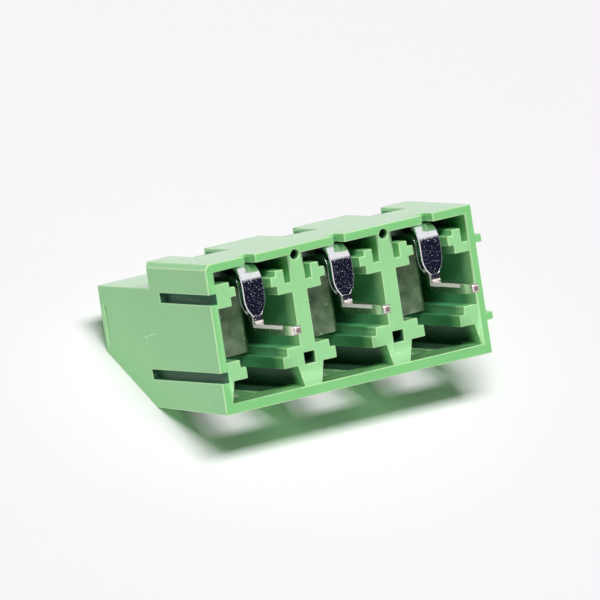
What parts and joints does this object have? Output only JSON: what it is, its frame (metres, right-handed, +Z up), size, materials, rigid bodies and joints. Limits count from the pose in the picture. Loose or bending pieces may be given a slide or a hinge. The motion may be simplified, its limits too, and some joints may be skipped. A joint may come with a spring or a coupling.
{
  "type": "pcb screw terminal",
  "caption": "Green moulded terminal block for a circuit board, with rising-cage clamps turned by screws, side wire entries and solder pins.",
  "frame": {"origin": "middle of the row of solder pins, on the plane of the board", "axes": "+Z up from the board towards the screws, -Y the side the wires enter, +X along the poles towards the grooved end"},
  "size_m": [0.023, 0.0107, 0.0198],
  "materials": {
    "housing_plastic": "moulded green polyamide, satin, slightly translucent at the edges",
    "contact_strip": "bright tin plated copper alloy strip",
    "cage_steel": "nickel plated, slightly mottled",
    "screw_steel": "zinc plated steel"
  },
  "bodies": {
    "block": {"housing": "housing_plastic", "contact_1": "contact_strip", "contact_2": "contact_strip", "contact_3": "contact_strip"},
    "screw_1": {"screw_1": "screw_steel"},
    "cage_1": {"cage_1": "cage_steel"},
    "screw_2": {"screw_2": "screw_steel"},
    "cage_2": {"cage_2": "cage_steel"},
    "screw_3": {"screw_3": "screw_steel"},
    "cage_3": {"cage_3": "cage_steel"}
  },
  "joints": [
    {"name": "screw_1_turn", "type": "hinge", "parent": "block", "child": "screw_1", "pos_m": [0.0075, 0.00013, 0], "axis": [0, 0, -1], "range_deg": [-721, 1201]},
    {"name": "cage_1_lift", "type": "slide", "parent": "block", "child": "cage_1", "axis": [0, 0, 1], "range_m": [-0.0009, 0.0015]},
    {"name": "screw_2_turn", "type": "hinge", "parent": "block", "child": "screw_2", "pos_m": [0, 0.00013, 0], "axis": [0, 0, -1], "range_deg": [-721, 1201]},
    {"name": "cage_2_lift", "type": "slide", "parent": "block", "child": "cage_2", "axis": [0, 0, 1], "range_m": [-0.0009, 0.0015]},
    {"name": "screw_3_turn", "type": "hinge", "parent": "block", "child": "screw_3", "pos_m": [-0.0075, 0.00013, 0], "axis": [0, 0, -1], "range_deg": [-721, 1201]},
    {"name": "cage_3_lift", "type": "slide", "parent": "block", "child": "cage_3", "axis": [0, 0, 1], "range_m": [-0.0009, 0.0015]}
  ],
  "couplings": [
    {"joint": "screw_1_turn", "follows": "cage_1_lift", "rad_per_m": 13963},
    {"joint": "screw_2_turn", "follows": "cage_2_lift", "rad_per_m": 13963},
    {"joint": "screw_3_turn", "follows": "cage_3_lift", "rad_per_m": 13963}
  ]
}
